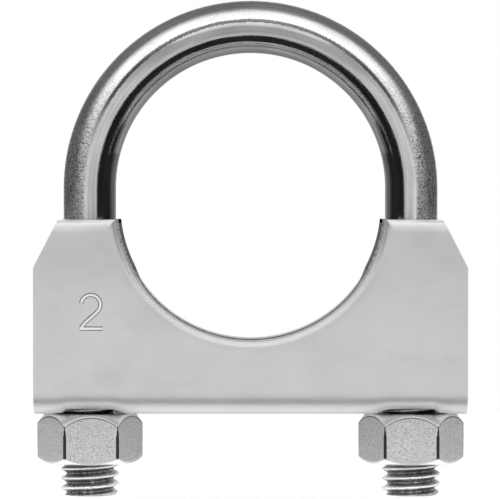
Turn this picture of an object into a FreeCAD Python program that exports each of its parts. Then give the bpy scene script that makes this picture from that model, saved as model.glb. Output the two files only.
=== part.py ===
import FreeCAD, Part
import math
import os

# Saddle clamp for a 2 inch pipe: a round steel U-bolt, a stamped sheet saddle
# and two hexagon nuts. Millimetres. The origin is the axis of the clamped pipe,
# half way through the saddle; +X is to the right, +Y away from the numbered
# face, +Z up, towards the crown of the U.

V = FreeCAD.Vector

# ---- driving dimensions -------------------------------------------------
PIPE_R = 25.4          # outside radius of the pipe the saddle is pressed to fit
ROD_D = 9.94           # rod, the blank size for a rolled 7/16-14 thread
BEND_R = 25.51         # inside radius of the U
BEND_Z = 3.4           # centre of the bend above the pipe axis, clamp slack
THREAD_D = 11.11       # 7/16-14 UNC crest diameter
THREAD_L = 38.0        # threaded length of each leg
RUNOUT_L = 1.6         # length over which the thread fades into the rod
STUD_END_Z = -54.8     # tips of both legs
TIP_CHAMFER = 1.0

HALF_W = 40.5          # half width of the saddle
HALF_D = 12.0          # half depth of the saddle, along the pipe
SHEET = 2.0            # sheet thickness
BASE_Z = -39.0         # underside of the saddle
BASE_BEND = 4.8        # outside bend radius along the base
LIP_BEND = 2.4         # outside bend radius of the lips
EAR_Z = -2.55          # tops of the two ears
EAR_OUT_X = 35.9       # outer top corner of each ear
SHOULDER_Z = -11.5     # where the sloping shoulder meets the vertical side
CORNER_R = 0.5         # rounding of the bottom corners, seen from the front
LIP_GAP = 4.0          # gap between the front and back lips along the seat
EAR_GAP = 13.2         # gap between the lips where the leg comes through
EAR_GAP_Z = -12.5      # how far down the wide gap runs
HOLE_R = 5.95          # holes in the base
ARCH_H = 0.85          # height of the pressed-up strip over each nut
ARCH_TOP = 8.2         # its width at the top
ARCH_FOOT = 14.0       # its width at the foot

NUT_AF = 17.5          # across flats
NUT_H = 9.6
NUT_TOP_Z = -39.15     # top face, just clear of the base so that it can turn
NUT_BORE_R = 5.6       # plain bore over the thread crests, a running fit
CROWN_R = 8.45         # circle left flat on the crowned upper face
CROWN_DEG = 54.0
FOOT_R = 8.0           # circle left flat on the lower face
FOOT_DEG = 25.0
SINK_R = 6.25          # countersink mouths
LEFT_TURN = 4.0        # how far each nut is turned from square, degrees
RIGHT_TURN = -2.0

NUMERAL_X = -29.75     # centre of the size number
NUMERAL_Z = -19.7
NUMERAL_W = 4.5
NUMERAL_H = 7.2
NUMERAL_STROKE = 0.9
NUMERAL_DEEP = 0.35

LEG_X = BEND_R + ROD_D / 2


def face(points):
    """A flat face through the points, closed."""
    return Part.Face(Part.makePolygon([V(*p) for p in points + points[:1]]))


def ring_face(edges):
    return Part.Face(Part.Wire(edges))


def arc(centre, radius, a0, a1, plane):
    """An arc edge. plane 'xz' lies in the front view, 'yz' in the side view."""
    def at(a):
        c, s = radius * math.cos(math.radians(a)), radius * math.sin(math.radians(a))
        if plane == "xz":
            return V(centre[0] + c, centre[1], centre[2] + s)
        return V(centre[0], centre[1] + c, centre[2] + s)
    return Part.Arc(at(a0), at((a0 + a1) / 2), at(a1)).toShape()


def line(a, b):
    return Part.makeLine(V(*a), V(*b))


# ---- the U-bolt ---------------------------------------------------------
def make_u_bolt():
    r, t = ROD_D / 2, THREAD_D / 2
    section = Part.Face(Part.Wire(Part.makeCircle(r, V(LEG_X, 0, BEND_Z), V(0, 0, 1))))
    bolt = section.revolve(V(0, 0, BEND_Z), V(0, 1, 0), -180)
    top = STUD_END_Z + THREAD_L
    for side in (-1, 1):
        x = side * LEG_X
        # half section of one leg, from the tip up, turned about the leg's axis
        half = face([
            (0, 0, STUD_END_Z),
            (t - TIP_CHAMFER, 0, STUD_END_Z),
            (t, 0, STUD_END_Z + TIP_CHAMFER),
            (t, 0, top - RUNOUT_L),
            (r, 0, top),
            (r, 0, BEND_Z),
            (0, 0, BEND_Z),
        ])
        leg = half.revolve(V(0, 0, 0), V(0, 0, 1), 360)
        leg.translate(V(x, 0, 0))
        bolt = bolt.fuse(leg)
    return bolt.removeSplitter()


# ---- the saddle ---------------------------------------------------------
def side_section(y, z0, z1, low_r, high_r, x):
    """Rounded rectangle in the side view, standing at x."""
    e = [
        line((x, -y + low_r, z0), (x, y - low_r, z0)),
        arc((x, y - low_r, z0 + low_r), low_r, -90, 0, "yz"),
        line((x, y, z0 + low_r), (x, y, z1 - high_r)),
        arc((x, y - high_r, z1 - high_r), high_r, 0, 90, "yz"),
        line((x, y - high_r, z1), (x, -y + high_r, z1)),
        arc((x, -y + high_r, z1 - high_r), high_r, 90, 180, "yz"),
        line((x, -y, z1 - high_r), (x, -y, z0 + low_r)),
        arc((x, -y + low_r, z0 + low_r), low_r, 180, 270, "yz"),
    ]
    return ring_face(e)


def spool(radius, y, bend):
    """Pipe-shaped tool with flared ends, which leaves a rounded rim."""
    far = radius + bend
    e = [
        line((0, -y - 5, 0), (0, y + 5, 0)),
        line((0, y + 5, 0), (0, y + 5, far)),
        line((0, y + 5, far), (0, y, far)),
        arc((0, y - bend, far), bend, 0, -90, "yz"),
        line((0, y - bend, radius), (0, -y + bend, radius)),
        arc((0, -y + bend, far), bend, -90, -180, "yz"),
        line((0, -y, far), (0, -y - 5, far)),
        line((0, -y - 5, far), (0, -y - 5, 0)),
    ]
    return ring_face(e).revolve(V(0, 0, 0), V(0, 1, 0), 360)


def outline():
    """Front view of the saddle without its seat, as a prism."""
    w, b, c = HALF_W, BASE_Z, CORNER_R
    e = [
        line((-w + c, -30, b), (w - c, -30, b)),
        arc((w - c, -30, b + c), c, -90, 0, "xz"),
        line((w, -30, b + c), (w, -30, SHOULDER_Z)),
        line((w, -30, SHOULDER_Z), (EAR_OUT_X, -30, EAR_Z)),
        line((EAR_OUT_X, -30, EAR_Z), (-EAR_OUT_X, -30, EAR_Z)),
        line((-EAR_OUT_X, -30, EAR_Z), (-w, -30, SHOULDER_Z)),
        line((-w, -30, SHOULDER_Z), (-w, -30, b + c)),
        arc((-w + c, -30, b + c), c, 180, 270, "xz"),
    ]
    return ring_face(e).extrude(V(0, 60, 0))


def arch(x, z0, foot, top, height):
    """Trapezium in the front view, run through the full depth."""
    return face([
        (x - foot / 2, -30, z0), (x + foot / 2, -30, z0),
        (x + top / 2, -30, z0 + height), (x - top / 2, -30, z0 + height),
    ]).extrude(V(0, 60, 0))


def numeral():
    """A plain 2 with a round top, as a raised tool for stamping the plate."""
    s, w, h = NUMERAL_STROKE, NUMERAL_W, NUMERAL_H
    y0, deep = -HALF_D - 1, 1 + NUMERAL_DEEP
    r = w / 2
    cx, cz = NUMERAL_X, NUMERAL_Z + h / 2 - r

    def cyl(rad):
        return Part.makeCylinder(rad, deep, V(cx, y0, cz), V(0, 1, 0))
    bowl = cyl(r).cut(cyl(r - s))
    # keep the bowl from its left end, over the top, round to lower right
    a = math.radians(-38)
    keep = face([
        (cx, y0, cz),
        (cx + 6 * math.cos(a), y0, cz + 6 * math.sin(a)),
        (cx + 6, y0, cz + 6), (cx - 6, y0, cz + 6), (cx - 6, y0, cz + 0.1),
    ]).extrude(V(0, deep, 0))
    bowl = bowl.common(keep)
    # diagonal stroke from the bowl's end down to the lower left corner
    foot_z = NUMERAL_Z - h / 2
    ux, uz = math.cos(a), math.sin(a)
    p_out = (cx + r * ux, cz + r * uz)
    p_in = (cx + (r - s) * ux, cz + (r - s) * uz)
    diagonal = face([
        (p_out[0], y0, p_out[1]), (p_in[0], y0, p_in[1]),
        (cx - r, y0, foot_z + s * 0.75), (cx - r, y0, foot_z + 0.01),
        (cx - r + s * 1.25, y0, foot_z + s * 0.5),
    ]).extrude(V(0, deep, 0))
    foot = Part.makeBox(w, deep, s, V(cx - r, y0, foot_z))
    return bowl.fuse(diagonal).fuse(foot)


def make_saddle():
    # outside of the folded sheet
    body = side_section(HALF_D, BASE_Z, EAR_Z, BASE_BEND, LIP_BEND, -60)
    body = body.extrude(V(120, 0, 0)).common(outline())
    body = body.cut(spool(PIPE_R, HALF_D, LIP_BEND))
    # inside, which keeps one sheet thickness everywhere and is open at the ends
    inner = side_section(HALF_D - SHEET, BASE_Z + SHEET, EAR_Z - SHEET,
                         BASE_BEND - SHEET, LIP_BEND - SHEET, -60)
    inner = inner.extrude(V(120, 0, 0))
    inner = inner.cut(spool(PIPE_R + SHEET, HALF_D - SHEET, LIP_BEND - SHEET))
    for side in (-1, 1):
        inner = inner.cut(arch(side * LEG_X, BASE_Z + SHEET, ARCH_FOOT, ARCH_TOP, ARCH_H))
    body = body.cut(inner)
    # gap between the lips, wide at the legs and narrow along the seat
    body = body.cut(Part.makeBox(2 * PIPE_R, LIP_GAP, 60, V(-PIPE_R, -LIP_GAP / 2, -PIPE_R - SHEET - 1.5)))
    for side in (-1, 1):
        wide = Part.makeBox(26, EAR_GAP, 20, V(-13, -EAR_GAP / 2, 0))
        wide = wide.makeFillet(3.0, [e for e in wide.Edges if abs(e.Vertexes[0].Z - e.Vertexes[1].Z) < 1e-6
                                     and e.Vertexes[0].Z < 1 and abs(e.Vertexes[0].X - e.Vertexes[1].X) > 1])
        wide.translate(V(side * (LEG_X + 2.5), 0, EAR_GAP_Z))
        body = body.cut(wide)
        x = side * LEG_X
        body = body.cut(Part.makeCylinder(HOLE_R, 10, V(x, 0, BASE_Z - 3)))
        body = body.cut(arch(x, BASE_Z, ARCH_FOOT, ARCH_TOP, ARCH_H))
    body = body.cut(numeral())
    return body


# ---- the nuts -----------------------------------------------------------
def make_nut(x, turn):
    top, bottom = NUT_TOP_Z, NUT_TOP_Z - NUT_H
    corner = NUT_AF / math.sqrt(3)
    hexagon = face([
        (corner * math.cos(math.radians(60 * i + turn)),
         corner * math.sin(math.radians(60 * i + turn)), bottom)
        for i in range(6)
    ]).extrude(V(0, 0, NUT_H))
    far = corner + 1
    crown = (far - CROWN_R) * math.tan(math.radians(CROWN_DEG))
    foot = (far - FOOT_R) * math.tan(math.radians(FOOT_DEG))
    sink = SINK_R - NUT_BORE_R
    half = face([
        (NUT_BORE_R, 0, bottom + sink), (SINK_R, 0, bottom), (FOOT_R, 0, bottom),
        (far, 0, bottom + foot), (far, 0, top - crown), (CROWN_R, 0, top),
        (SINK_R, 0, top), (NUT_BORE_R, 0, top - sink),
    ])
    nut = hexagon.common(half.revolve(V(0, 0, 0), V(0, 0, 1), 360))
    nut.translate(V(x, 0, 0))
    return nut


def save(shape, node):
    solids = shape.Solids
    if len(solids) != 1:
        raise RuntimeError(node + " is not one solid")
    solids[0].exportStep("parts/" + node + ".step")


os.makedirs("parts", exist_ok=True)
save(make_u_bolt(), "u_bolt")
save(make_saddle(), "saddle")
save(make_nut(-LEG_X, LEFT_TURN), "left_nut")
save(make_nut(LEG_X, RIGHT_TURN), "right_nut")
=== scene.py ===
import math

import bmesh
import bpy
import numpy as np
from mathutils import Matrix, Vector


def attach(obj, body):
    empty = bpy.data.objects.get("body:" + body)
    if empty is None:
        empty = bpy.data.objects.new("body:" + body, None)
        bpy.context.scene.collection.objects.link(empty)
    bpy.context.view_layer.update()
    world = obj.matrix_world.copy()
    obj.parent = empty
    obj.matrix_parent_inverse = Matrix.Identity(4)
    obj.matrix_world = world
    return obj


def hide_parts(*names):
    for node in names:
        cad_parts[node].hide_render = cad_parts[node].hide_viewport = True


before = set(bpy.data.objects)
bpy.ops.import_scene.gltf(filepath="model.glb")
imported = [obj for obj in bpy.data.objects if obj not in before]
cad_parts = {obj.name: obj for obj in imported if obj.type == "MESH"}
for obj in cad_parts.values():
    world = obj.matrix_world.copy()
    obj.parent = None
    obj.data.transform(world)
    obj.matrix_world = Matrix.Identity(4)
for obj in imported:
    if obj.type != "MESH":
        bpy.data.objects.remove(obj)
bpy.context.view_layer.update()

# Everything below is worked out in millimetres and scaled once, when a mesh is
# made. The frame is the CAD's: pipe axis at the origin, +Z towards the crown.
MM = 0.001

# ---- driving sizes, as in the CAD ---------------------------------------
PIPE_R = 25.4
ROD_R = 4.97
BEND_R = 25.51
BEND_Z = 3.4
LEG_X = BEND_R + ROD_R
THREAD_R = 5.555
PITCH = 25.4 / 14
THREAD_L = 38.0
FADE_L = 3.4           # over which the rolled thread fades into the rod
TIP_Z = -54.8
TIP_R = 4.8
FLOOR_Z = TIP_Z - 4.0  # clear of the tips when the U is drawn down

HALF_W = 40.5
HALF_D = 12.0
SHEET = 2.0
BASE_Z = -39.0
BASE_BEND = 4.8
LIP_BEND = 2.4
EAR_Z = -2.55
EAR_OUT_X = 35.9
SHOULDER_Z = -11.5
LIP_EDGE = 2.0         # half the gap between the lips along the seat
EAR_EDGE = 6.6         # half the gap where a leg comes through
HOLE_R = 5.95
ARCH_H = 0.9
# mm outward from the leg, share of the height
ARCH_SHAPE = [(-7.6, 0), (-6.9, 0.12), (-4.9, 0.92), (-4.3, 1), (3.8, 1), (4.2, 0.93), (4.6, 0.3), (6.8, 0)]

NUT_AF = 17.5
NUT_H = 9.6
NUT_TOP_Z = -39.15
CROWN_R = 8.45
CROWN_DROP = 0.78, 0.36        # fall of the crown: per mm out, and per mm squared
FOOT_R = 8.0
FOOT_RISE = 0.22, 0.19
SINK_R = 6.25
NUT_CORNER_R = 0.62, 0.98      # rounding of the corners, above and below
NUT_COLUMNS = (0.55, 1.15, 1.8, 2.5, 3.6, 12, 21)      # degrees from a corner
NUT_MINOR_R = 4.72
NUT_PLAY = 0.1         # radial play between the two threads
LEFT_TURN = 4.0
RIGHT_TURN = -2.0

NUMERAL_X, NUMERAL_Z = -29.75, -19.7
NUMERAL_W, NUMERAL_H = 4.5, 7.2
STROKE, STROKE_DEEP = 0.92, 0.22

THREAD_START = math.pi * LEG_X / 2 + BEND_Z - (TIP_Z + THREAD_L)   # along the rod from the crown

ROUND = 96             # columns round the rod and the threads


# ---- mesh helpers -------------------------------------------------------
def smoothstep(a, b, x):
    t = np.clip((np.asarray(x, float) - a) / (b - a), 0, 1)
    return t * t * (3 - 2 * t)


class Builder:
    """Collects vertices, in mm, and faces, then welds them into one mesh."""

    def __init__(self):
        self.verts, self.faces, self.flow = [], [], []

    def add(self, points, flow=None):
        base = len(self.verts)
        self.verts += [tuple(map(float, p)) for p in points]
        self.flow += [tuple(map(float, p)) for p in (points if flow is None else flow)]
        return base

    def grid(self, points, flow=None, closed=False, seam=0):
        """Quads over points[row][column]. closed joins the last column to the
        first, seam rows further on, as a helix does."""
        points = np.asarray(points, float)
        rows, cols = points.shape[:2]
        base = self.add(points.reshape(-1, 3),
                        None if flow is None else np.asarray(flow, float).reshape(-1, 3))
        for r in range(rows - 1):
            for c in range(cols if closed else cols - 1):
                if c < cols - 1:
                    quad = (r * cols + c, r * cols + c + 1,
                            (r + 1) * cols + c + 1, (r + 1) * cols + c)
                elif r + 1 + seam < rows:
                    quad = (r * cols + c, (r + seam) * cols,
                            (r + 1 + seam) * cols, (r + 1) * cols + c)
                else:
                    continue
                self.faces.append(tuple(base + q for q in quad))
        if seam:  # the first rows of the first column still need their neighbours
            for r in range(-seam, 0):
                a, b = max(r, 0), max(r + 1, 0)
                quad = (a * cols + cols - 1, (r + seam) * cols,
                        (r + 1 + seam) * cols, b * cols + cols - 1)
                self.faces.append(tuple(base + q for q in quad))
            for r in range(rows - 1 - seam, rows - 1):
                quad = (r * cols + cols - 1, (rows - 1) * cols,
                        (rows - 1) * cols, (r + 1) * cols + cols - 1)
                self.faces.append(tuple(base + q for q in quad))

    def fan(self, ring, centre, flow=None):
        base = self.add(list(ring) + [centre], flow)
        n = len(ring)
        for i in range(n):
            self.faces.append((base + i, base + (i + 1) % n, base + n))

    def build(self, name, weld=0.002):
        mesh = bpy.data.meshes.new(name)
        clean = [f for f in self.faces if len(set(f)) == len(f)]
        mesh.from_pydata([Vector(v) * MM for v in self.verts], [], clean)
        layer = mesh.attributes.new("flow", "FLOAT_VECTOR", "POINT")
        layer.data.foreach_set("vector", np.asarray(self.flow, np.float32).ravel())
        bm = bmesh.new()
        bm.from_mesh(mesh)
        bmesh.ops.remove_doubles(bm, verts=bm.verts, dist=weld * MM)
        bmesh.ops.dissolve_degenerate(bm, edges=bm.edges, dist=0.2 * weld * MM)
        bmesh.ops.recalc_face_normals(bm, faces=bm.faces)
        bm.to_mesh(mesh)
        bm.free()
        obj = bpy.data.objects.new(name, mesh)
        bpy.context.scene.collection.objects.link(obj)
        return obj


def add_modifier(obj, name, kind, **settings):
    modifier = obj.modifiers.new(name, kind)
    for key, value in settings.items():
        setattr(modifier, key, value)


def bake_modifiers(obj):
    """Replaces the object's mesh by the result of its modifiers."""
    graph = bpy.context.evaluated_depsgraph_get()
    mesh = bpy.data.meshes.new_from_object(obj.evaluated_get(graph), depsgraph=graph)
    obj.modifiers.clear()
    old, obj.data = obj.data, mesh
    mesh.name = obj.name
    bpy.data.meshes.remove(old)


def smooth(obj, degrees):
    """Smooth shading, broken at edges sharper than this."""
    mesh = obj.data
    mesh.polygons.foreach_set("use_smooth", [True] * len(mesh.polygons))
    mesh.set_sharp_from_angle(angle=math.radians(degrees))


def soften(obj, width, degrees, segments=2):
    """Rounds every edge sharper than this by a small radius."""
    add_modifier(obj, "edges", "BEVEL", width=width * MM, segments=segments,
                 limit_method="ANGLE", angle_limit=math.radians(degrees),
                 use_clamp_overlap=True, harden_normals=False)
    bake_modifiers(obj)


# ---- threads ------------------------------------------------------------
# One turn of a rolled 60 degree thread: place along the pitch, radius. It has
# a flat crest, straight flanks and a rounded root.
THREAD_SHAPE = [
    (-0.085, -0.055), (-0.055, 0.0), (0.0, 0.012), (0.055, 0.0), (0.085, -0.055),
    (0.20, -0.40), (0.31, -0.76), (0.375, -0.97), (0.43, -1.07), (0.50, -1.10),
    (0.57, -1.07), (0.625, -0.97), (0.69, -0.76), (0.80, -0.40),
]


def thread_radius(phase):
    """Radius of the bolt's thread, full depth, where phase counts turns."""
    xs = [p[0] for p in THREAD_SHAPE] + [THREAD_SHAPE[0][0] + 1]
    rs = [p[1] for p in THREAD_SHAPE] + [THREAD_SHAPE[0][1]]
    wrapped = (np.asarray(phase) - xs[0]) % 1 + xs[0]
    return THREAD_R + np.interp(wrapped, xs, rs)


def helix_grid(z0, z1, radius, start=0.0):
    """points[row][column] on a right-hand helix, so that crests follow rows.
    radius(z, phase) gives the surface. Rows past either end lie on it."""
    columns = start + np.arange(ROUND) * 2 * math.pi / ROUND
    turns = np.arange(math.floor(z0 / PITCH) - 2, math.ceil(z1 / PITCH) + 2)
    steps = np.concatenate([n + np.array([p[0] for p in THREAD_SHAPE]) for n in turns])
    z = np.clip(PITCH * (steps[:, None] + columns[None, :] / (2 * math.pi)), z0, z1)
    r = radius(z, z / PITCH - columns[None, :] / (2 * math.pi))
    return np.stack([r * np.cos(columns), r * np.sin(columns), z], axis=-1)


def ring(radius, z, count=ROUND, offset=0.0):
    a = np.arange(count) * 2 * math.pi / count + offset
    r = np.broadcast_to(radius, a.shape)
    return np.stack([r * np.cos(a), r * np.sin(a), np.broadcast_to(z, a.shape)], axis=-1)


# ---- the U-bolt ---------------------------------------------------------
def bolt_leg_radius(z, phase):
    top = TIP_Z + THREAD_L
    keep = 1 - smoothstep(top - FADE_L, top, z)
    r = ROD_R + keep * (thread_radius(phase) - ROD_R)
    return np.minimum(r, TIP_R + (z - TIP_Z) * 0.9)


def tip_radius():
    """Radius of the thread all the way round at the tip."""
    theta = np.arange(ROUND) * 2 * math.pi / ROUND
    z = np.full(ROUND, TIP_Z)
    return bolt_leg_radius(z, z / PITCH - theta / (2 * math.pi))


def shear_face(radius, side):
    """Height of the cropped end above its lowest point: a slight slope, a
    rolled edge and a torn ridge."""
    def height(x, y):
        h = 0.10 + 0.05 * math.sin(0.9 * x * side + 0.4) + 0.035 * math.sin(2.3 * y + 1.1 * x)
        torn = 0.16 * math.exp(-((y - 0.9 * math.sin(0.7 * x) - 0.6) / 0.55) ** 2)
        return h + torn * (1 - (x * x + y * y) / radius ** 2)
    return height


def straightened(points, side):
    """Where points of a leg lie on the rod before it was bent: outward from the
    bend, sideways, and along its length from the crown."""
    flow = np.array(points)
    flow[..., 0] *= side
    flow[..., 2] = side * (math.pi * LEG_X / 2 + BEND_Z - flow[..., 2])
    return flow


def make_u_bolt():
    b = Builder()
    thread_top = TIP_Z + THREAD_L
    arc_length = math.pi * LEG_X
    for side in (-1, 1):
        pts = helix_grid(TIP_Z, thread_top, bolt_leg_radius)
        # the straightened rod: outward, sideways, along it
        flow = straightened(pts, side)
        pts = pts + [side * LEG_X, 0, 0]
        b.grid(pts, flow, closed=True, seam=len(THREAD_SHAPE))
        plain = np.array([ring(ROD_R, z) for z in np.linspace(thread_top, BEND_Z, 12)])
        flow = straightened(plain, side)
        b.grid(plain + [side * LEG_X, 0, 0], flow, closed=True)
        # cropped end: rings closing in on the middle
        height = shear_face(TIP_R, side)
        rows = []
        for share in (1.0, 0.93, 0.8, 0.62, 0.42, 0.22):
            r = ring(np.minimum(TIP_R, tip_radius()) * share, TIP_Z)
            lift = [0.0 if share == 1.0 else height(p[0], p[1]) * min(1, (1 - share) * 8) for p in r]
            r[:, 2] += lift
            rows.append(r)
        rows = np.array(rows)
        flow = straightened(rows, side)
        b.grid(rows + [side * LEG_X, 0, 0], flow, closed=True)
        last = rows[-1] + [side * LEG_X, 0, 0]
        centre = last.mean(axis=0)
        b.fan(last, centre, list(flow[-1]) + [tuple(flow[-1].mean(axis=0))])
    rows, flow = [], []
    steps = 72
    for k in range(steps + 1):
        a = math.pi * k / steps
        out = np.array([math.cos(a), 0, math.sin(a)])
        theta = np.arange(ROUND) * 2 * math.pi / ROUND
        local = ROD_R * (np.cos(theta)[:, None] * out + np.sin(theta)[:, None] * np.array([0, 1, 0]))
        rows.append(np.array([0, 0, BEND_Z]) + LEG_X * out + local)
        flow.append(np.stack([ROD_R * np.cos(theta), ROD_R * np.sin(theta),
                              np.full(ROUND, arc_length * (0.5 - k / steps))], axis=-1))
    b.grid(rows, flow, closed=True)
    obj = b.build("u_bolt_rod")
    smooth(obj, 40)
    return obj


# ---- the nuts -----------------------------------------------------------
def make_nut(name, x, turn):
    top, bottom = NUT_TOP_Z, NUT_TOP_Z - NUT_H
    # columns, evenly round the bore and gathered at the six corners outside
    start = math.radians(turn - 30)
    theta = start + np.arange(ROUND) * 2 * math.pi / ROUND
    half = list(NUT_COLUMNS)
    sector = np.radians([-30] + [-d for d in half[::-1]] + [0] + half)
    theta_out = np.concatenate([math.radians(turn + 60 * i) + sector for i in range(6)])
    from_corner = np.tile(sector, 6)

    def hexagon(corner_r):
        """A hexagon with rounded corners, as a radius in each direction."""
        hub = (NUT_AF / 2 - corner_r) / math.cos(math.pi / 6)
        flat = NUT_AF / 2 / np.cos(math.pi / 6 - np.abs(from_corner))
        inside = np.maximum(corner_r ** 2 - (hub * np.sin(from_corner)) ** 2, 0)
        tangent = math.atan2(corner_r / 2, hub + corner_r * math.cos(math.pi / 6))
        return np.where(np.abs(from_corner) < tangent, hub * np.cos(from_corner) + np.sqrt(inside), flat)

    upper, lower = (hexagon(r) for r in NUT_CORNER_R)
    crown_z = top - sum(k * (upper - CROWN_R) ** n for n, k in enumerate(CROWN_DROP, 1))
    foot_z = bottom + sum(k * (lower - FOOT_R) ** n for n, k in enumerate(FOOT_RISE, 1))

    def row(radius, z, angles):
        radius, z = np.broadcast_to(radius, angles.shape), np.broadcast_to(z, angles.shape)
        return np.stack([radius * np.cos(angles), radius * np.sin(angles), z], axis=-1)

    def mix(t):  # columns turn from the hexagon's back to the even ones
        return theta + (theta_out - theta) * t

    # each row with its finish and painted light: on a corner, turned crown, turned foot
    def corner(t):
        return (np.abs(from_corner) < math.radians(0.1 + 2.0 * min(1, t / 0.3) ** 0.5)).astype(float)
    rows, finish_and_painted_light = [], []

    def add(radius, z, angles, edge=0.0, crown=0.0, foot=0.0):
        rows.append(row(radius, z, angles))
        finish_and_painted_light.append(np.stack([np.broadcast_to(v, ROUND) for v in (edge, crown, foot)], axis=-1))

    add(SINK_R, top, theta, crown=1)
    add((SINK_R + CROWN_R) / 2, top, mix(0.5), crown=1)
    for t in (0, 0.2, 0.4, 0.6, 0.8, 1.0):
        d = (upper - CROWN_R) * t
        add(CROWN_R + d, top - CROWN_DROP[0] * d - CROWN_DROP[1] * d * d, mix(1), crown=1)
    # the row just below the crown takes half the crown's mark, which paints the shade line under it
    for t in (0.035, 0.07, 0.2, 0.35, 0.5, 0.65, 0.8, 0.95):
        add(upper + (lower - upper) * t, crown_z + (foot_z - crown_z) * t, mix(1), edge=corner(t),
            crown=0.5 if t < 0.05 else 0)
    for t in (1.0, 0.75, 0.5, 0.25, 0):
        d = (lower - FOOT_R) * t
        add(FOOT_R + d, bottom + FOOT_RISE[0] * d + FOOT_RISE[1] * d * d, mix(1), foot=1)
    add((SINK_R + FOOT_R) / 2, bottom, mix(0.5), foot=1)
    add(SINK_R, bottom, theta, foot=1)
    b = Builder()
    b.grid(rows, finish_and_painted_light, closed=True)

    def bore(z, phase):
        thread = np.maximum(thread_radius(phase) + NUT_PLAY, NUT_MINOR_R)
        sink = SINK_R - np.minimum(z - bottom, top - z)
        return np.maximum(thread, sink)
    bore_rows = helix_grid(bottom, top, bore, start)
    b.grid(bore_rows, np.zeros_like(bore_rows), closed=True, seam=len(THREAD_SHAPE))
    for i, v in enumerate(b.verts):
        b.verts[i] = (v[0] + x, v[1], v[2])
    obj = b.build(name)
    soften(obj, 0.2, 24, segments=3)
    smooth(obj, 30)
    return obj


# ---- the saddle ---------------------------------------------------------
SEAT_COLS, EAR_COLS, SHOULDER_COLS = 96, 40, 5
SHOULDER_LEAN = (HALF_W - EAR_OUT_X) / (EAR_Z - SHOULDER_Z)
SEAT_FOOT, EAR_FOOT = 22.5, 38.0   # where those columns meet the base
LIP_SPACING = (0, 0.12, 0.34, 0.56, 0.78)
LIP_SPRING = 0.48      # how far the lips' edges stand in beside the legs


def arch_lift(x):
    """Height of the strips pressed up over the nuts: steep on the outer side,
    sloping on the inner one."""
    out = abs(x) - LEG_X
    places, lifts = zip(*ARCH_SHAPE)
    return float(np.interp(out, places, lifts)) * ARCH_H


def lip_length(x, z):
    """How far round the seat, and then out along an ear, a point is."""
    return PIPE_R * math.atan2(x, -z) + math.copysign(max(0.0, abs(x) - PIPE_R), x)


def saddle_columns():
    """Each column: a function from inset to its place on the wall's top edge,
    the inset where the flat begins, where it meets the base, half the gap at
    its lip, and how far that lip springs back into the opening."""
    cols = []

    def seat(s):
        def at(d):
            r = PIPE_R + d
            psi = s * math.acos(-(EAR_Z - d) / r)
            return r * math.sin(psi), -r * math.cos(psi)
        z = at(0)[1]
        edge = EAR_EDGE + (LIP_EDGE - EAR_EDGE) * float(1 - smoothstep(-15.0, -11.8, z))
        return at, LIP_BEND, s * SEAT_FOOT, edge, LIP_SPRING * float(smoothstep(-17.0, -11.0, z))

    def ear(side, s):
        def at(d):
            inner = math.sqrt((PIPE_R + d) ** 2 - (EAR_Z - d) ** 2)
            outer = EAR_OUT_X + d * SHOULDER_LEAN
            return side * (inner + (outer - inner) * s), EAR_Z - d
        return at, LIP_BEND, side * (SEAT_FOOT + (EAR_FOOT - SEAT_FOOT) * s), EAR_EDGE, 0.0

    def shoulder(side, s):
        def at(_):
            z0 = EAR_Z - LIP_BEND
            z = z0 + (SHOULDER_Z - z0) * s
            return side * (EAR_OUT_X + (EAR_Z - z) * SHOULDER_LEAN), z
        return at, None, side * (EAR_FOOT + (HALF_W - EAR_FOOT) * s), None, 0.0

    for k in range(SHOULDER_COLS, 0, -1):
        cols.append(shoulder(-1, k / SHOULDER_COLS))
    for k in range(EAR_COLS, 0, -1):
        cols.append(ear(-1, k / EAR_COLS))
    for k in range(SEAT_COLS + 1):
        cols.append(seat(2 * k / SEAT_COLS - 1))
    for k in range(1, EAR_COLS + 1):
        cols.append(ear(1, k / EAR_COLS))
    for k in range(1, SHOULDER_COLS + 1):
        cols.append(shoulder(1, k / SHOULDER_COLS))
    return cols


def saddle_column_points(col):
    """Points of one column from lip edge to the middle of the base. Columns on
    the shoulders have no lip, and None stands for what they lack. Each point
    comes with how far along the sheet it is from the start of the bend, and
    from the edge of the lip."""
    at, bend, foot_x, edge, spring = col
    lip_rows, bend_rows, wall_rows, base_rows, web_rows = len(LIP_SPACING), 12, 22, 16, 14
    pts = []
    for k in range(lip_rows):
        if edge is None:
            pts.append(None)
            continue
        x, z = at(0)
        start, end = -edge, -(HALF_D - LIP_BEND)
        gone = (start - end) * LIP_SPACING[k]
        near = 1 - spring * (1 - LIP_SPACING[k]) / PIPE_R
        pts.append((x * near, start - gone, z * near, gone - (start - end), gone))
    for k in range(bend_rows):
        if bend is None:
            pts.append(None)
            continue
        phi = math.pi / 2 * (1 - k / bend_rows)
        x, z = at(LIP_BEND * (1 - math.sin(phi)))
        run = LIP_BEND * (math.pi / 2 - phi)
        pts.append((x, -HALF_D + LIP_BEND * (1 - math.cos(phi)), z, run, 9.0))
    x0, z0 = at(LIP_BEND)
    z1 = BASE_Z + BASE_BEND
    for k in range(wall_rows):
        t = k / wall_rows
        pts.append((x0 + (foot_x - x0) * t, -HALF_D, z0 + (z1 - z0) * t, 4 + (z0 - z1) * t, 9.0))
    lift = arch_lift(foot_x)
    for k in range(base_rows):
        phi = math.pi / 2 * k / base_rows
        share = 1 - math.cos(phi)
        pts.append((foot_x, -HALF_D + BASE_BEND * (1 - math.cos(phi)),
                    BASE_Z + BASE_BEND * (1 - math.sin(phi)) + lift * share ** 0.8, 40.0, 9.0))
    for k in range(web_rows + 1):
        y = -(HALF_D - BASE_BEND) * (1 - k / web_rows)
        pts.append((foot_x, y, BASE_Z + lift, 50.0, 9.0))
    return pts


STAMPED = 120.0        # marks the stamped numeral in the sheet's flow


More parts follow.
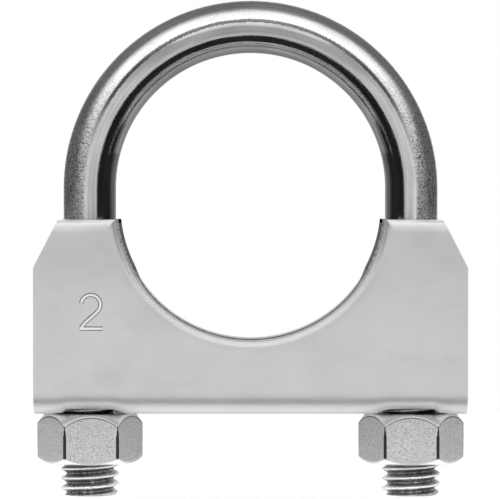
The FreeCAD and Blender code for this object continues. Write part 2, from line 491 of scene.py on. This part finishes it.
def stroke_tool(points, flare=0.27):
    """A closed trapezoidal bar along points, for pressing into the front wall."""
    deep, proud = STROKE_DEEP, 0.6
    pts = [Vector((p[0], 0, p[1])) for p in points]
    rows = []
    for i, p in enumerate(pts):
        d0 = (p - pts[i - 1]).normalized() if i else None
        d1 = (pts[i + 1] - p).normalized() if i < len(pts) - 1 else None
        d = ((d0 or d1) + (d1 or d0)).normalized()
        side = Vector((-d.z, 0, d.x))
        spread = 1 / max(0.5, (d0 or d1).dot(d))
        narrow, wide = STROKE / 2 - flare, STROKE / 2 + flare * proud / deep
        y0, y1 = -HALF_D + deep, -HALF_D - proud
        rows.append([tuple(p + side * narrow * spread + Vector((0, y0, 0))),
                     tuple(p - side * narrow * spread + Vector((0, y0, 0))),
                     tuple(p - side * wide * spread + Vector((0, y1, 0))),
                     tuple(p + side * wide * spread + Vector((0, y1, 0)))])
    b = Builder()
    b.grid(rows, closed=True)
    for end in (rows[0], rows[-1]):
        base = b.add(end)
        b.faces.append(tuple(range(base, base + 4)))
    b.flow = [(STAMPED, v[0] + v[2], 9.0) for v in b.verts]
    return b.build("stroke_tool")


def numeral_paths():
    r = (NUMERAL_W - STROKE) / 2
    cx, cz = NUMERAL_X, NUMERAL_Z + NUMERAL_H / 2 - STROKE / 2 - r
    foot = NUMERAL_Z - NUMERAL_H / 2 + STROKE / 2
    bowl = [(cx + r * math.cos(math.radians(a)), cz + r * math.sin(math.radians(a)))
            for a in range(172, -33, -8)]
    left = cx - r
    # the sweep down to the foot, a cubic that leaves the bowl along its tangent
    p0, p3 = bowl[-1], (left + 0.02, foot + 0.12)
    p1, p2 = (p0[0] - 0.75, p0[1] - 1.2), (p3[0] + 0.55, p3[1] + 1.25)
    sweep = [tuple((1 - t) ** 3 * a + 3 * t * (1 - t) ** 2 * b + 3 * t * t * (1 - t) * c + t ** 3 * d
                   for a, b, c, d in zip(p0, p1, p2, p3)) for t in np.linspace(0, 1, 11)[1:]]
    return [bowl + sweep, [(left - STROKE * 0.35, foot), (cx + r + STROKE * 0.45, foot)]]


def make_saddle():
    cols = [saddle_column_points(c) for c in saddle_columns()]
    front = list(zip(*cols))                       # rows of columns
    back = [[None if p is None else (p[0], -p[1], *p[2:]) for p in row] for row in front[-2::-1]]
    rows = front + back
    b = Builder()
    index = {}
    for r, row in enumerate(rows):
        for c, p in enumerate(row):
            if p is not None:
                index[r, c] = b.add([p[:3]], [(p[3], lip_length(p[0], p[2]), p[4])])
    for r in range(len(rows) - 1):
        for c in range(len(cols) - 1):
            quad = [(r, c), (r, c + 1), (r + 1, c + 1), (r + 1, c)]
            if all(q in index for q in quad):
                b.faces.append(tuple(index[q] for q in quad))
    obj = b.build("saddle_stamping")
    # outward normals: the front wall has to look towards -Y
    mesh = obj.data
    front_face = min(mesh.polygons, key=lambda f: f.center.y + abs(f.center.z + 0.025) * 0.01)
    if front_face.normal.y > 0:
        mesh.flip_normals()
    add_modifier(obj, "sheet", "SOLIDIFY", thickness=SHEET * MM, offset=-1,
                 use_even_offset=True, use_quality_normals=True, use_rim=True)
    bake_modifiers(obj)
    tools = []
    for side in (-1, 1):
        t = Builder()
        low, high = BASE_Z - 3, BASE_Z + 6
        t.grid([ring(HOLE_R, low), ring(HOLE_R, high)], closed=True)
        t.fan(ring(HOLE_R, low), (0, 0, low))
        t.fan(ring(HOLE_R, high), (0, 0, high))
        t.verts = [(v[0] + side * LEG_X, v[1], v[2]) for v in t.verts]
        t.flow = [(50.0, math.atan2(v[1], v[0] - side * LEG_X) * HOLE_R, 0.0) for v in t.verts]
        tools.append(t.build("hole_tool"))
    tools += [stroke_tool(p) for p in numeral_paths()]
    for i, tool in enumerate(tools):
        add_modifier(obj, f"cut_{i}", "BOOLEAN", operation="DIFFERENCE", object=tool, solver="MANIFOLD")
    bake_modifiers(obj)
    for tool in tools:
        bpy.data.objects.remove(tool)
    soften(obj, 0.14, 32)
    smooth(obj, 32)
    # the numeral's painted highlight and rim shade, by how deep it is pressed
    flow = obj.data.attributes["flow"].data
    for v in obj.data.vertices:
        x, y, z = v.co / MM
        into = y + HALF_D
        near = abs(x - NUMERAL_X) < NUMERAL_W and abs(z - NUMERAL_Z) < NUMERAL_H
        if near and -0.1 < into < STROKE_DEEP + 0.1:
            deep = min(1.0, max(0.0, into / STROKE_DEEP))
            flow[v.index].vector = (STAMPED - 50 * (1 - deep) if deep > 0.04 else 20.0, x + z, 9.0)
    return obj


# ---- materials ----------------------------------------------------------
class Nodes:
    def __init__(self, name):
        self.material = bpy.data.materials.new(name)
        self.material.use_nodes = True
        self.tree = self.material.node_tree
        self.tree.nodes.clear()
        self.out = self.tree.nodes.new("ShaderNodeOutputMaterial")
        self.shader = self.tree.nodes.new("ShaderNodeBsdfPrincipled")
        self.link(self.shader.outputs[0], self.out.inputs["Surface"])

    def link(self, a, b):
        self.tree.links.new(a, b)

    def node(self, kind, **values):
        n = self.tree.nodes.new(kind)
        for key, value in values.items():
            setattr(n, key, value)
        return n

    def place(self, source="Object", scale=(1, 1, 1)):
        """Coordinates in millimetres, stretched by scale."""
        m = self.node("ShaderNodeMapping")
        if source == "Object":
            c = self.node("ShaderNodeTexCoord")
            self.link(c.outputs["Object"], m.inputs["Vector"])
            m.inputs["Scale"].default_value = [1000 * s for s in scale]
        else:
            c = self.node("ShaderNodeAttribute", attribute_name=source)
            self.link(c.outputs["Vector"], m.inputs["Vector"])
            m.inputs["Scale"].default_value = scale
        return m.outputs["Vector"]

    def noise(self, vector, scale, detail=4.0, rough=0.55, distortion=0.0):
        n = self.node("ShaderNodeTexNoise")
        n.inputs["Scale"].default_value = scale
        n.inputs["Detail"].default_value = detail
        n.inputs["Roughness"].default_value = rough
        n.inputs["Distortion"].default_value = distortion
        self.link(vector, n.inputs["Vector"])
        return n.outputs["Fac"]

    def remap(self, value, a, b, lo, hi):
        n = self.node("ShaderNodeMapRange")
        for key, v in (("From Min", a), ("From Max", b), ("To Min", lo), ("To Max", hi)):
            n.inputs[key].default_value = v
        self.link(value, n.inputs["Value"])
        return n.outputs["Result"]

    def math(self, op, a, b):
        n = self.node("ShaderNodeMath", operation=op)
        for i, v in enumerate((a, b)):
            if isinstance(v, (int, float)):
                n.inputs[i].default_value = v
            else:
                self.link(v, n.inputs[i])
        return n.outputs[0]

    def colour(self, fac, stops):
        n = self.node("ShaderNodeValToRGB")
        ramp = n.color_ramp
        while len(ramp.elements) < len(stops):
            ramp.elements.new(0.5)
        for e, (place, value) in zip(ramp.elements, stops):
            e.position = place
            e.color = (*value, 1)
        self.link(fac, n.inputs["Fac"])
        return n.outputs["Color"]

    def bumps(self, *layers):
        """Each layer is (height, strength, distance in mm)."""
        normal = None
        for height, strength, distance in layers:
            n = self.node("ShaderNodeBump")
            n.inputs["Strength"].default_value = strength
            n.inputs["Distance"].default_value = distance * MM
            self.link(height, n.inputs["Height"])
            if normal:
                self.link(normal, n.inputs["Normal"])
            normal = n.outputs["Normal"]
        self.link(normal, self.shader.inputs["Normal"])


def rod_material():
    """Bright drawn steel. The outside of the bend is stretched into a coarse
    grain, the inside keeps fine lines along the rod, and a die line runs along
    the front. The threads carry painted shade in their grooves and a painted
    highlight on their crests."""
    m = Nodes("bright_drawn_rod")
    lines = m.noise(m.place("flow", (2.4, 2.4, 0.03)), 1.6, 5, 0.6)
    fine = m.noise(m.place("flow", (9, 9, 0.25)), 1.5, 3, 0.6)
    mottle = m.noise(m.place("flow", (0.35, 0.35, 0.12)), 1.0, 3, 0.5)
    peel = m.noise(m.place("flow", (0.8, 0.8, 1.5)), 2.9, 4, 0.8)
    ticks = m.noise(m.place("flow", (0.6, 0.6, 2.2)), 2.2, 3, 0.7)
    split = m.node("ShaderNodeSeparateXYZ")
    m.link(m.place("flow"), split.inputs[0])
    x, y, z = split.outputs
    # the die line drifts outward by a millimetre from the legs to the crown
    drift = m.remap(m.math("ABSOLUTE", z, 0), 5, 42, 1.0, 0.7)
    off_line = m.math("ABSOLUTE", m.math("SUBTRACT", x, drift), 0)
    ragged = m.math("ADD", off_line, m.remap(peel, 0.35, 0.65, -0.18, 0.18))
    die_line = m.math("MULTIPLY", m.remap(ragged, 0.3, 0.4, 1, 0),
                      m.math("MULTIPLY", m.remap(y, -4, -3.5, 1, 0), m.remap(peel, 0.36, 0.48, 0.75, 1)))
    die_line = m.math("MULTIPLY", die_line, m.remap(m.math("ABSOLUTE", z, 0), 30, 43, 1, 0))
    outside = m.remap(m.math("SUBTRACT", x, drift), -0.1, 0.4, 0.0, 1.0)
    radius = m.math("SQRT", m.math("ADD", m.math("MULTIPLY", x, x), m.math("MULTIPLY", y, y)), 0)
    threaded = m.remap(m.math("ABSOLUTE", z, 0), THREAD_START - 0.5, THREAD_START + 2.5, 0, 1)
    torn = m.noise(m.place("flow", (1, 1, 1)), 1.3, 4, 0.65)
    # painted shade: the thread grooves are darkened
    groove_shade = m.math("MULTIPLY", m.math("MULTIPLY", threaded, m.remap(radius, 4.5, 5.35, 1, 0)),
                    m.remap(torn, 0.4, 0.6, 1, 0.5))
    tone = m.colour(m.math("ADD", m.math("MULTIPLY", mottle, 0.4), m.math("MULTIPLY", lines, 0.6)),
                    [(0.36, (0.44, 0.44, 0.44)), (0.5, (0.57, 0.57, 0.572)), (0.62, (0.68, 0.68, 0.682))])
    strained = m.math("MULTIPLY", outside, m.remap(m.math("ABSOLUTE", z, 0), 24, 42, 0.18, 1))
    pits = m.math("MULTIPLY", strained, m.math("MAXIMUM", m.remap(peel, 0.49, 0.44, 0, 0.9),
                                               m.remap(ticks, 0.44, 0.4, 0, 0.85)))
    dark = m.math("MAXIMUM", m.math("MULTIPLY", die_line, 0.92), m.math("MULTIPLY", groove_shade, 0.92))
    dark = m.math("MAXIMUM", dark, pits)
    shade = m.node("ShaderNodeMix", data_type="RGBA")
    m.link(dark, shade.inputs["Factor"])
    m.link(tone, shade.inputs["A"])
    shade.inputs["B"].default_value = (0.06, 0.058, 0.055, 1)
    # painted highlight: the thread crests are lightened towards white
    crest_highlight = m.node("ShaderNodeMix", data_type="RGBA")
    m.link(m.math("MULTIPLY", threaded, m.remap(radius, 5.36, 5.5, 0, 1)), crest_highlight.inputs["Factor"])
    m.link(shade.outputs["Result"], crest_highlight.inputs["A"])
    crest_highlight.inputs["B"].default_value = (0.93, 0.93, 0.93, 1)
    m.link(crest_highlight.outputs["Result"], m.shader.inputs["Base Color"])
    m.shader.inputs["Metallic"].default_value = 1.0
    rough = m.math("ADD", m.remap(lines, 0.3, 0.75, 0.06, 0.14), m.math("MULTIPLY", outside, 0.19))
    m.link(rough, m.shader.inputs["Roughness"])
    m.bumps((mottle, 0.2, 0.08), (m.math("MULTIPLY", peel, strained), 0.7, 0.1),
            (m.math("MULTIPLY", torn, threaded), 0.9, 0.25),
            (die_line, -0.5, 0.04), (lines, 0.45, 0.03), (fine, 0.2, 0.012))
    return m.material


def sheet_material():
    """Satin sheet: even grain, faint rolling marks, soft clouding. The lips are
    scored across by the press, and their sheared edges are dull and darkened
    well beyond that by painted shade. The tops of the bends and the numeral's
    floor carry a painted highlight, and the numeral's rim painted shade."""
    m = Nodes("satin_sheet")
    grain = m.noise(m.place(scale=(1, 1, 1)), 9.0, 3, 0.6)
    rolled = m.noise(m.place(scale=(0.12, 1, 2.4)), 2.2, 3, 0.55)
    cloud = m.noise(m.place(), 0.09, 3, 0.5)
    scuffs = m.noise(m.place(scale=(1, 1, 0.25)), 0.8, 6, 0.72, 0.6)
    smudge = m.noise(m.place(scale=(0.5, 1, 1)), 0.2, 4, 0.6)
    split = m.node("ShaderNodeSeparateXYZ")
    m.link(m.place("flow"), split.inputs[0])
    run, _, from_edge = split.outputs
    lip = m.remap(run, -0.3, 0.5, 1, 0)
    score = m.noise(m.place("flow", (0.2, 1.5, 0.2)), 1.7, 3, 0.6)
    scored = m.math("MULTIPLY", lip, m.math("MULTIPLY", m.remap(score, 0.54, 0.45, 0, 1),
                                            m.remap(from_edge, 1.5, 3.5, 1, 0.35)))
    # sheared edges, the hole walls among them, are dull, and darkened well beyond that by painted shade along
    # the gap between the lips
    dull_edge_and_shade = m.math("MULTIPLY", m.remap(from_edge, 0.1, 0.45, 1, 0), m.remap(score, 0.3, 0.6, 1, 0.75))
    tone = m.colour(cloud, [(0.3, (0.63, 0.627, 0.622)), (0.7, (0.68, 0.677, 0.671))])
    # painted highlight on the top of the bend and on the floor of the numeral, and
    # painted shade in a dark line at the numeral's rim
    painted_highlight = m.math("MULTIPLY", m.remap(run, 0.0, 0.5, 0, 1), m.remap(run, 1.0, 2.2, 1, 0))
    painted_highlight = m.math("MAXIMUM", painted_highlight, m.remap(run, STAMPED - 24, STAMPED - 10, 0, 1))
    # painted shade: a dark line along the numeral's rim
    numeral_rim_shade = m.math("MULTIPLY", m.remap(run, STAMPED - 68, STAMPED - 64, 0, 1),
                 m.remap(run, STAMPED - 24, STAMPED - 10, 1, 0))
    bright = m.node("ShaderNodeMix", data_type="RGBA")
    m.link(painted_highlight, bright.inputs["Factor"])
    m.link(tone, bright.inputs["A"])
    bright.inputs["B"].default_value = (0.95, 0.948, 0.944, 1)
    dark = m.math("MAXIMUM", m.math("MULTIPLY", scored, 0.62), m.math("MULTIPLY", dull_edge_and_shade, 0.85))
    dark = m.math("MAXIMUM", dark, m.math("MULTIPLY", numeral_rim_shade, 0.95))
    dark = m.math("MAXIMUM", dark, m.remap(smudge, 0.5, 0.75, 0, 0.07))
    shade = m.node("ShaderNodeMix", data_type="RGBA")
    m.link(dark, shade.inputs["Factor"])
    m.link(bright.outputs["Result"], shade.inputs["A"])
    shade.inputs["B"].default_value = (0.07, 0.068, 0.066, 1)
    m.link(shade.outputs["Result"], m.shader.inputs["Base Color"])
    m.shader.inputs["Metallic"].default_value = 0.85
    rough = m.math("ADD", m.remap(scuffs, 0.35, 0.75, 0.38, 0.48), m.remap(grain, 0.3, 0.7, -0.03, 0.03))
    m.link(rough, m.shader.inputs["Roughness"])
    m.bumps((cloud, 0.4, 0.25), (rolled, 0.10, 0.01), (grain, 0.15, 0.014),
            (m.math("MULTIPLY", score, lip), 0.6, 0.06))
    return m.material


def nut_material():
    """Cold-formed nut: coarse speckled faces; corners drawn as dark lines of
    painted shade with lighter fringes; a turned crown and foot, lightened
    further by a painted highlight."""
    m = Nodes("nut_steel")
    grain = m.noise(m.place(), 4.2, 4, 0.75)
    speck = m.noise(m.place(), 9.0, 3, 0.6)
    cloud = m.noise(m.place(), 0.25, 2, 0.5)
    turned = m.noise(m.place(scale=(0.3, 0.3, 7)), 2.0, 3, 0.6)
    split = m.node("ShaderNodeSeparateXYZ")
    m.link(m.place("flow"), split.inputs[0])
    edge, crown, foot = split.outputs
    cut = m.math("MAXIMUM", crown, foot)
    turned_and_highlit = m.math("MAXIMUM", edge, cut)
    face = m.math("SUBTRACT", 1, turned_and_highlit)
    # corners, crown and foot are lightened: a painted highlight, on the crown and foot partly their real
    # turned finish
    tone = m.colour(m.math("ADD", m.math("MULTIPLY", grain, face), m.math("MULTIPLY", turned_and_highlit, 0.7)),
                    [(0.34, (0.2, 0.2, 0.2)), (0.45, (0.56, 0.56, 0.558)), (0.6, (0.76, 0.76, 0.76)),
                     (0.7, (0.92, 0.92, 0.92))])
    # painted shade: dark lines along the rounded corners and in a line below the crown
    scale = m.node("ShaderNodeMix", data_type="RGBA")
    crown_shade_line = m.math("MULTIPLY", m.remap(crown, 0.15, 0.35, 0, 0.75), m.remap(crown, 0.55, 0.8, 1, 0))
    m.link(m.math("MAXIMUM", m.remap(edge, 0.55, 0.85, 0, 1), crown_shade_line), scale.inputs["Factor"])
    m.link(tone, scale.inputs["A"])
    scale.inputs["B"].default_value = (0.045, 0.045, 0.045, 1)
    m.link(scale.outputs["Result"], m.shader.inputs["Base Color"])
    m.shader.inputs["Metallic"].default_value = 1.0
    rough = m.remap(speck, 0.3, 0.7, 0.34, 0.48)
    rough = m.math("SUBTRACT", rough, m.math("MULTIPLY", cut, 0.18))
    m.link(m.math("SUBTRACT", rough, m.math("MULTIPLY", edge, 0.28)), m.shader.inputs["Roughness"])
    m.bumps((cloud, 0.25, 0.15), (m.math("MULTIPLY", grain, face), 0.5, 0.07), (speck, 0.2, 0.02),
            (m.math("MULTIPLY", turned, cut), 0.35, 0.03))
    return m.material


def floor_material():
    m = Nodes("pale_floor")
    m.shader.inputs["Base Color"].default_value = (0.98, 0.98, 0.98, 1)
    m.shader.inputs["Roughness"].default_value = 0.9
    return m.material


def card_material(lights, axis):
    """A card that glows. lights is [(place along the axis in mm, brightness)]."""
    m = Nodes("card")
    glow = m.node("ShaderNodeEmission")
    split = m.node("ShaderNodeSeparateXYZ")
    m.link(m.place(), split.inputs[0])
    first, last = lights[0][0], lights[-1][0]
    if first == last:
        glow.inputs["Color"].default_value = (lights[0][1],) * 3 + (1,)
    else:
        m.link(m.colour(m.remap(split.outputs[axis], first, last, 0, 1),
                        [((y - first) / (last - first), (v, v, v)) for y, v in lights]), glow.inputs["Color"])
    m.link(glow.outputs[0], m.out.inputs["Surface"])
    m.tree.nodes.remove(m.shader)
    return m.material


# ---- pieces -------------------------------------------------------------
def dress(obj, material, node, body):
    obj.data.materials.clear()
    obj.data.materials.append(material)
    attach(obj, body)
    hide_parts(node)


rod_steel, sheet_steel, nut_steel = rod_material(), sheet_material(), nut_material()
dress(make_u_bolt(), rod_steel, "u_bolt", "u_bolt")
dress(make_saddle(), sheet_steel, "saddle", "saddle")
dress(make_nut("left_hex_nut", -LEG_X, LEFT_TURN), nut_steel, "left_nut", "left_nut")
dress(make_nut("right_hex_nut", LEG_X, RIGHT_TURN), nut_steel, "right_nut", "right_nut")


# ---- stage --------------------------------------------------------------
FLOOR_SIZE = 0.56      # metres


def make_floor():
    bpy.ops.mesh.primitive_plane_add(size=FLOOR_SIZE, location=(0, 0, FLOOR_Z * MM))
    floor = bpy.context.object
    floor.name = "floor"
    floor.data.materials.append(floor_material())


def make_card(name, points, faces=None, lights=((0, 0.015),), axis="Y"):
    """A card that only reflections can see."""
    mesh = bpy.data.meshes.new(name)
    mesh.from_pydata([Vector(p) * MM for p in points], [], faces or [tuple(range(len(points)))])
    card = bpy.data.objects.new(name, mesh)
    bpy.context.scene.collection.objects.link(card)
    card.data.materials.append(card_material(lights, axis))
    card.visible_camera = card.visible_diffuse = card.visible_shadow = False
    card.visible_transmission = card.visible_volume_scatter = False


def band(rows):
    """Points and faces of a strip between two rows of points."""
    a, b = rows
    n = len(a)
    return a + b, [(i, i + 1, n + i + 1, n + i) for i in range(n - 1)]


# Brightness of the white tent in reflections, by the height of the direction:
# 0 is straight down, 1 is straight up. It is a little dimmer at the sides.
TENT = [(0.0, 0.9), (0.35, 0.62), (0.48, 0.60), (0.52, 0.70),
        (0.59, 1.08), (0.68, 1.55), (0.74, 2.5), (1.0, 2.4)]
TENT_SIDE, TENT_BACK = 0.62, 1.0
AMBIENT = 0.85         # what lights matt surfaces, besides the lamp


def make_world():
    """White where the camera looks past the object, and for diffuse light. In
    reflections it is the studio."""
    world = bpy.data.worlds.new("studio")
    bpy.context.scene.world = world
    world.use_nodes = True
    tree = world.node_tree
    tree.nodes.clear()
    link = tree.links.new

    def node(kind, inputs=(), **values):
        n = tree.nodes.new(kind)
        for key, v in values.items():
            setattr(n, key, v)
        for key, v in inputs:
            if hasattr(v, "links"):
                link(v, n.inputs[key])
            else:
                n.inputs[key].default_value = v
        return n

    coords = node("ShaderNodeTexCoord")
    toward = coords.outputs["Generated"]
    axes = node("ShaderNodeSeparateXYZ", [("Vector", toward)])
    height = node("ShaderNodeMapRange", [("Value", axes.outputs["Z"]), ("From Min", -1.0), ("From Max", 1.0)])
    ramp = node("ShaderNodeValToRGB", [("Fac", height.outputs["Result"])])
    while len(ramp.color_ramp.elements) < len(TENT):
        ramp.color_ramp.elements.new(0.5)
    for e, (place, light) in zip(ramp.color_ramp.elements, TENT):
        e.position = place
        e.color = (light, light, light, 1)
    side = node("ShaderNodeMapRange", [("Value", axes.outputs["Y"]), ("From Min", -0.8), ("From Max", -0.3),
                                       ("To Min", 1.0), ("To Max", TENT_SIDE)])
    back = node("ShaderNodeMapRange", [("Value", axes.outputs["Y"]), ("From Min", 0.64), ("From Max", 0.9),
                                       ("To Max", TENT_BACK)])
    tent = node("ShaderNodeMath", [(0, ramp.outputs["Color"]), (1, side.outputs["Result"])],
                operation="MULTIPLY")
    studio = node("ShaderNodeMath", [(0, tent.outputs[0]), (1, back.outputs["Result"])], operation="MAXIMUM")
    path = node("ShaderNodeLightPath")
    plain = node("ShaderNodeMath", [(0, path.outputs["Is Camera Ray"]), (1, path.outputs["Is Diffuse Ray"])],
                 operation="MAXIMUM")
    flat = node("ShaderNodeMath", [(0, path.outputs["Is Camera Ray"]), (1, AMBIENT)], operation="MAXIMUM")
    seen = node("ShaderNodeMix", data_type="FLOAT",
                inputs=[("Factor", plain.outputs[0]), ("A", studio.outputs[0]), ("B", flat.outputs[0])])
    glow = node("ShaderNodeBackground", [("Color", (1, 1, 1, 1)), ("Strength", seen.outputs["Result"])])
    node("ShaderNodeOutputWorld", [("Surface", glow.outputs[0])])


def make_lamp(name, place, size, power):
    """A soft lamp for matt surfaces only, aimed at the origin."""
    data = bpy.data.lights.new(name, "AREA")
    data.shape = "RECTANGLE"
    data.size, data.size_y = size
    data.energy = power
    lamp = bpy.data.objects.new(name, data)
    lamp.location = place
    lamp.rotation_euler = (-Vector(place)).to_track_quat("-Z", "Y").to_euler()
    bpy.context.scene.collection.objects.link(lamp)
    lamp.visible_camera = False
    lamp.visible_glossy = False


make_floor()
make_world()


def arch_row(angles, radius, y, low=EAR_Z):
    """Points round the U at this radius, which may be a function of the angle,
    continued straight down its legs."""
    rows = []
    for a in angles:
        r, depth = (v(math.radians(a)) if callable(v) else v for v in (radius, y))
        up = math.sin(math.radians(a))
        z = BEND_Z + r * up if 0 <= a <= 180 else BEND_Z - (-a if a < 0 else a - 180)
        rows.append((r * math.cos(math.radians(min(max(a, 0), 180))), depth, max(z, low)))
    return rows


# flags close to the rod: a front ring inside the U, a grey disc behind it and a
# hoop outside, whose front edge draws back over the crown
HOOP_R = 42.0
DIVIDER_X = 14
BACK_R = 24
CARD_BACK_Y = 14
sweep = range(-6, 187, 4)
make_card("front_ring", *band([arch_row(sweep, lambda a: 24.2 - 1.5 * math.sin(a), -HALF_D),
                               arch_row(sweep, lambda a: 1 + 5 * max(0, math.sin(a)) ** 2, -HALF_D)]))
for x in (-DIVIDER_X, DIVIDER_X):
    make_card("divider", [(x, -HALF_D, -4), (x, CARD_BACK_Y, -4), (x, CARD_BACK_Y, 7), (x, -HALF_D, 7)],
              lights=((-12, 0.015), (-1, 0.02), (1, 0.08), (4, 0.17), (14, 0.2)))
make_card("back_disc", [(BACK_R * math.cos(math.radians(a)), CARD_BACK_Y, BACK_R * math.sin(math.radians(a)))
                        for a in range(0, 360, 10)],
          lights=((-BACK_R, 0.5), (0, 0.4), (BACK_R, 0.25)), axis="Z")


def hoop_front(a):
    """Where along Y the hoop's front edge stands at this angle."""
    return -6.0 - 7.5 * (1 - float(smoothstep(0.1, 0.6, math.sin(a))))


make_card("hoop", *band([arch_row(sweep, HOOP_R, hoop_front), arch_row(sweep, HOOP_R, 13.0)]),
          lights=((0, 0.2),))
# the table in front, bright near the clamp and falling away, with a painted shadow of the clamp in the dark
# strip just in front of it
z = FLOOR_Z + 0.3
make_card("table", [(-280, -279, z), (280, -279, z), (280, 279, z), (-280, 279, z)],
          lights=((-279, 0.55), (-150, 0.7), (-60, 1.0), (-42, 0.9), (-34, 0.4), (-27, 0.05), (-20, 0.05),
                  (-15, 1.0), (-6, 1.22), (10, 1.1), (26, 0.55), (279, 0.6)))
# a low diffuser in front, whose top is cut to the U: it keeps the light above
# off the saddle and leaves it to the rod
low = [(60, -40), (60, 5), (42, 15), (27, 31), (20, 33.2)]
make_card("low_panel", [(x, -20, z) for x, z in low] + [(-x, -20, z) for x, z in low[::-1]], axis="Z",
          lights=((-40, 0.78), (-30, 0.77), (-18, 0.71), (-9, 0.59), (-4, 0.59), (-1, 0.74), (11, 0.88),
                  (20, 0.86), (26, 0.6), (35, 0.55)))
for side in (-1, 1):   # a narrow light beside each leg
    make_card("leg_light", [(side * x, -19, z) for x, z in ((32.5, -3), (38, -3), (36, 20), (30.5, 20))],
              lights=((0, 1.0),))
make_lamp("overhead", (0.0, -0.15, 0.8), (1.0, 1.0), 3)

# ---- camera: level with the pipe, square to the numbered face -------------
DISTANCE = 0.62
FIELD = 94.88 * MM     # width seen at the U-bolt
AIM_Z, EYE_Z, SHIFT_X = -8.3 * MM, 3.0 * MM, -0.1 * MM
data = bpy.data.cameras.new("camera")
data.sensor_width = 36
data.lens = 36 * DISTANCE / FIELD
camera = bpy.data.objects.new("camera", data)
camera.location = (SHIFT_X, -DISTANCE, EYE_Z)
aim = Vector((SHIFT_X, 0, AIM_Z)) - camera.location
camera.rotation_euler = aim.to_track_quat("-Z", "Y").to_euler()
bpy.context.scene.collection.objects.link(camera)
bpy.context.scene.camera = camera
bpy.context.scene.view_settings.view_transform = "Standard"
